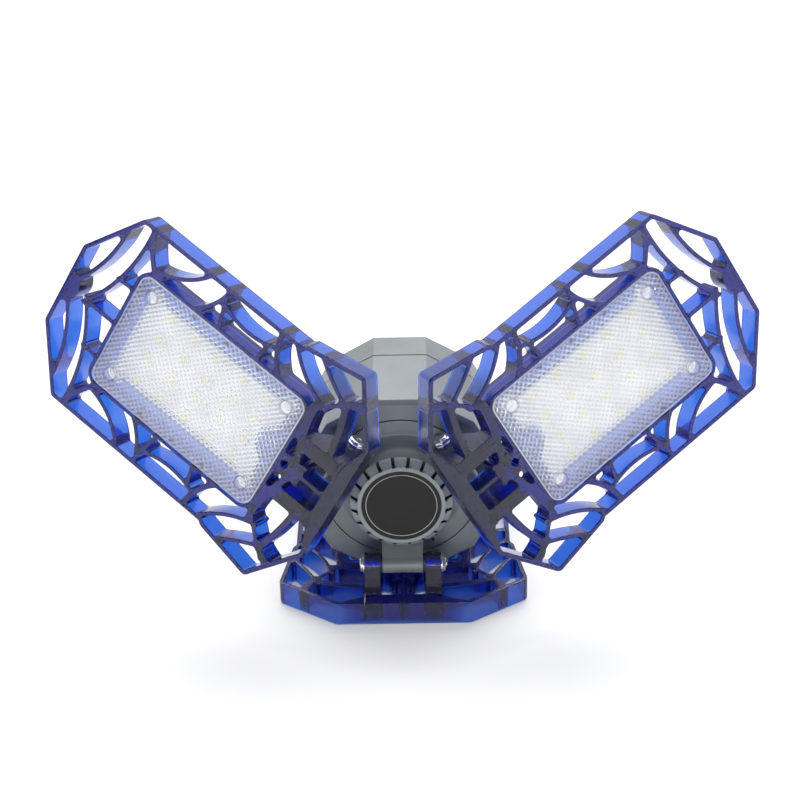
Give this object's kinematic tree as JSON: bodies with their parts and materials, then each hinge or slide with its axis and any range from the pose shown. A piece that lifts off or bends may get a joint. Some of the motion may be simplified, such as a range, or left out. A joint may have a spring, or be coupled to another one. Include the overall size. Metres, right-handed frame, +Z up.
{
  "type": "folding three-leaf screw-in lamp",
  "caption": "Folding garage lamp: a grey screw-in head carries blue lattice leaves with clear prism lenses on friction hinges, and stands on one leaf folded flat.",
  "frame": {"origin": "on the surface the lamp stands on, directly below the standing leaf's hinge axis, on the lamp's mid-plane", "axes": "+Z up from the surface; +Y along the head's axis towards the screw base; +X to the right seen from the label side"},
  "size_m": [0.3265, 0.1783, 0.181],
  "materials": {
    "leaf_blue": "glossy deep blue translucent plastic: thin walls shine through, thick parts look nearly black",
    "head_grey": "satin grey powder coat on cast aluminium",
    "cap_grey": "satin grey powder coat on cast aluminium",
    "label_black": "matt film with a fine pale ring",
    "lens_clear": "clear, fine prism pattern",
    "board_white": "white solder mask on aluminium",
    "chip_yellow": "pale yellow phosphor",
    "bright_steel": "bright nickel plate",
    "dark_steel": "blackened",
    "washer_dark": "dark nylon",
    "grommet_black": "soft black",
    "grommet_grey": "soft grey, the colour of the head",
    "collar_white": "white heat-resistant plastic",
    "base_nickel": "nickel-plated brass",
    "insulator_black": "black glass-like insulator",
    "contact_brass": "bare brass",
    "lead_red": "insulated wire",
    "circuit_green": "green solder mask",
    "transformer_yellow": "taped winding and ferrite core",
    "capacitor_black": "sleeved can",
    "choke_copper": "enamelled copper winding",
    "film_yellow": "moulded box",
    "rectifier_black": "moulded body",
    "fuse_glass": "glass tube with plated caps",
    "terminal_green": "moulded block"
  },
  "bodies": {
    "head": {"label_disc": "label_black", "front_cap": "cap_grey", "bell_cover": "head_grey", "exit_grommets": "grommet_grey", "main_housing": "head_grey", "rear_housing": "head_grey", "housing_bolts": "dark_steel", "base_collar": "collar_white", "screw_shell": "base_nickel", "contact_insulator": "insulator_black", "centre_contact": "contact_brass", "base_leads": "lead_red", "driver_board": "circuit_green", "driver_screws": "bright_steel", "transformer": "transformer_yellow", "bulk_capacitors": "capacitor_black", "line_choke": "choke_copper", "film_capacitor": "film_yellow", "bridge_rectifier": "rectifier_black", "line_fuse": "fuse_glass", "terminal_block": "terminal_green"},
    "left_leaf": {"left_leaf_frame": "leaf_blue", "left_led_board": "board_white", "left_led_chips": "chip_yellow", "left_board_screws": "bright_steel", "left_lens": "lens_clear", "left_hinge_bolt": "bright_steel", "left_hinge_nut": "bright_steel", "left_hinge_washers": "washer_dark", "left_lead_grommet": "grommet_black"},
    "right_leaf": {"right_leaf_frame": "leaf_blue", "right_led_board": "board_white", "right_led_chips": "chip_yellow", "right_board_screws": "bright_steel", "right_lens": "lens_clear", "right_hinge_bolt": "bright_steel", "right_hinge_nut": "bright_steel", "right_hinge_washers": "washer_dark", "right_lead_grommet": "grommet_black"},
    "standing_leaf": {"standing_leaf_frame": "leaf_blue", "standing_led_board": "board_white", "standing_led_chips": "chip_yellow", "standing_board_screws": "bright_steel", "standing_lens": "lens_clear", "standing_hinge_bolt": "bright_steel", "standing_hinge_nut": "bright_steel", "standing_hinge_washers": "washer_dark", "standing_lead_grommet": "grommet_black"}
  },
  "joints": [
    {"name": "left_leaf_fold", "type": "hinge", "parent": "head", "child": "left_leaf", "pos_m": [-0.02832, 0, 0.07395], "axis": [-0.5, 0, -0.866], "range_deg": [-29.9, 60.1]},
    {"name": "right_leaf_fold", "type": "hinge", "parent": "head", "child": "right_leaf", "pos_m": [0.02832, 0, 0.07395], "axis": [-0.5, 0, 0.866], "range_deg": [-27.4, 62.6]},
    {"name": "standing_leaf_fold", "type": "hinge", "parent": "head", "child": "standing_leaf", "pos_m": [0, 0, 0.0249], "axis": [1, 0, 0], "range_deg": [-90, 0]}
  ]
}
